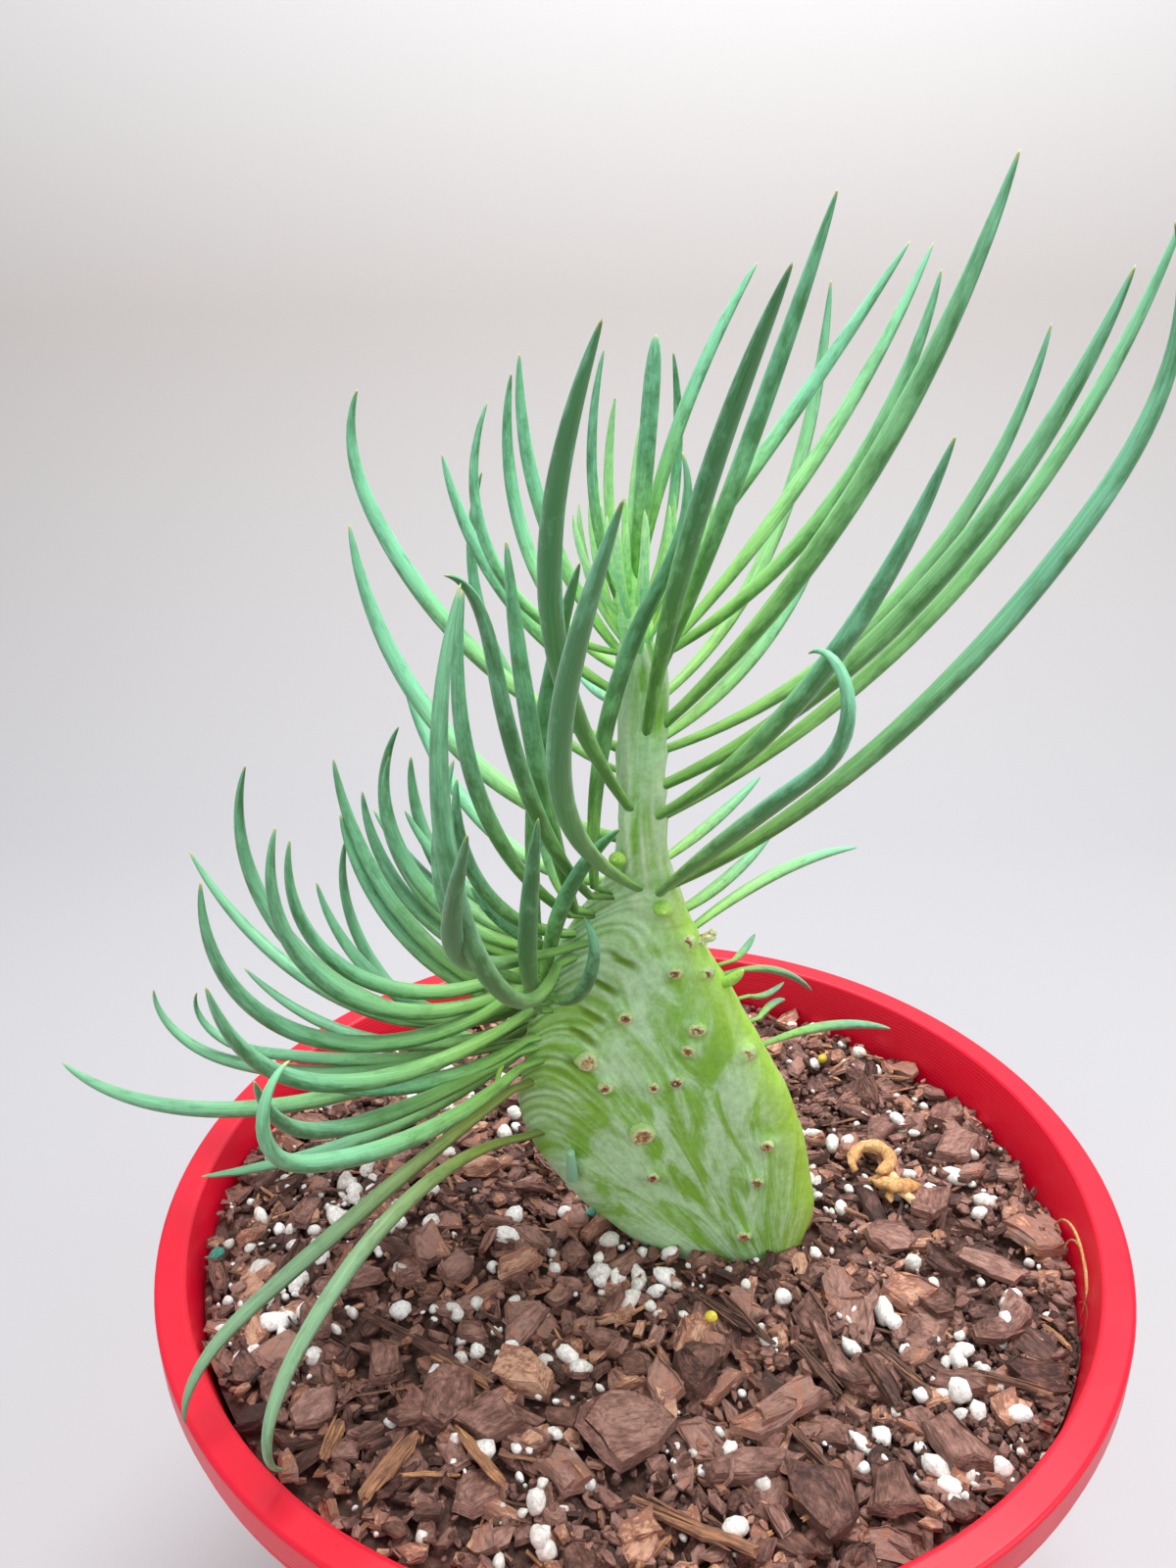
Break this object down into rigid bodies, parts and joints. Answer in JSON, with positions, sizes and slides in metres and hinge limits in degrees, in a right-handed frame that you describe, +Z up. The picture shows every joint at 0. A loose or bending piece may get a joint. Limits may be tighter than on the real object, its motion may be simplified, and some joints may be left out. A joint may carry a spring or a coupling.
{
  "type": "potted crested succulent",
  "caption": "Potted crested succulent: a fan-shaped stem with long finger leaves and an upright shoot, in a round red plastic pot of bark mix.",
  "frame": {"origin": "middle of the pot's flat bottom, where it stands", "axes": "+Z up. The crest's broad face looks along -Y, the crest and its drooping leaves reach to -X, and the upright shoot leans to +X."},
  "size_m": [0.205, 0.18, 0.3145],
  "materials": {
    "red_plastic": "satin",
    "bark": "matte",
    "stem": "satin",
    "young_leaf": "satin",
    "leaf": "satin"
  },
  "bodies": {
    "root": {"pot": "red_plastic", "potting_mix": "bark", "crested_stem": "stem", "growing_tip": "young_leaf", "shoot_leaf_01": "leaf", "shoot_leaf_02": "leaf", "shoot_leaf_03": "leaf", "shoot_leaf_04": "leaf", "shoot_leaf_05": "leaf", "shoot_leaf_06": "leaf", "shoot_leaf_07": "leaf", "shoot_leaf_08": "leaf", "shoot_leaf_09": "leaf", "shoot_leaf_10": "leaf", "shoot_leaf_11": "leaf", "shoot_leaf_12": "leaf", "shoot_leaf_13": "leaf", "shoot_leaf_14": "leaf", "shoot_leaf_15": "leaf", "shoot_leaf_16": "leaf", "shoot_leaf_17": "leaf", "shoot_leaf_18": "leaf", "shoot_leaf_19": "leaf", "shoot_leaf_20": "leaf", "shoot_leaf_21": "leaf", "shoot_leaf_22": "leaf", "shoot_leaf_23": "leaf", "shoot_leaf_24": "leaf", "shoot_leaf_25": "leaf", "shoot_leaf_26": "leaf", "shoot_leaf_27": "leaf", "shoot_leaf_28": "leaf"}
  },
  "joints": []
}
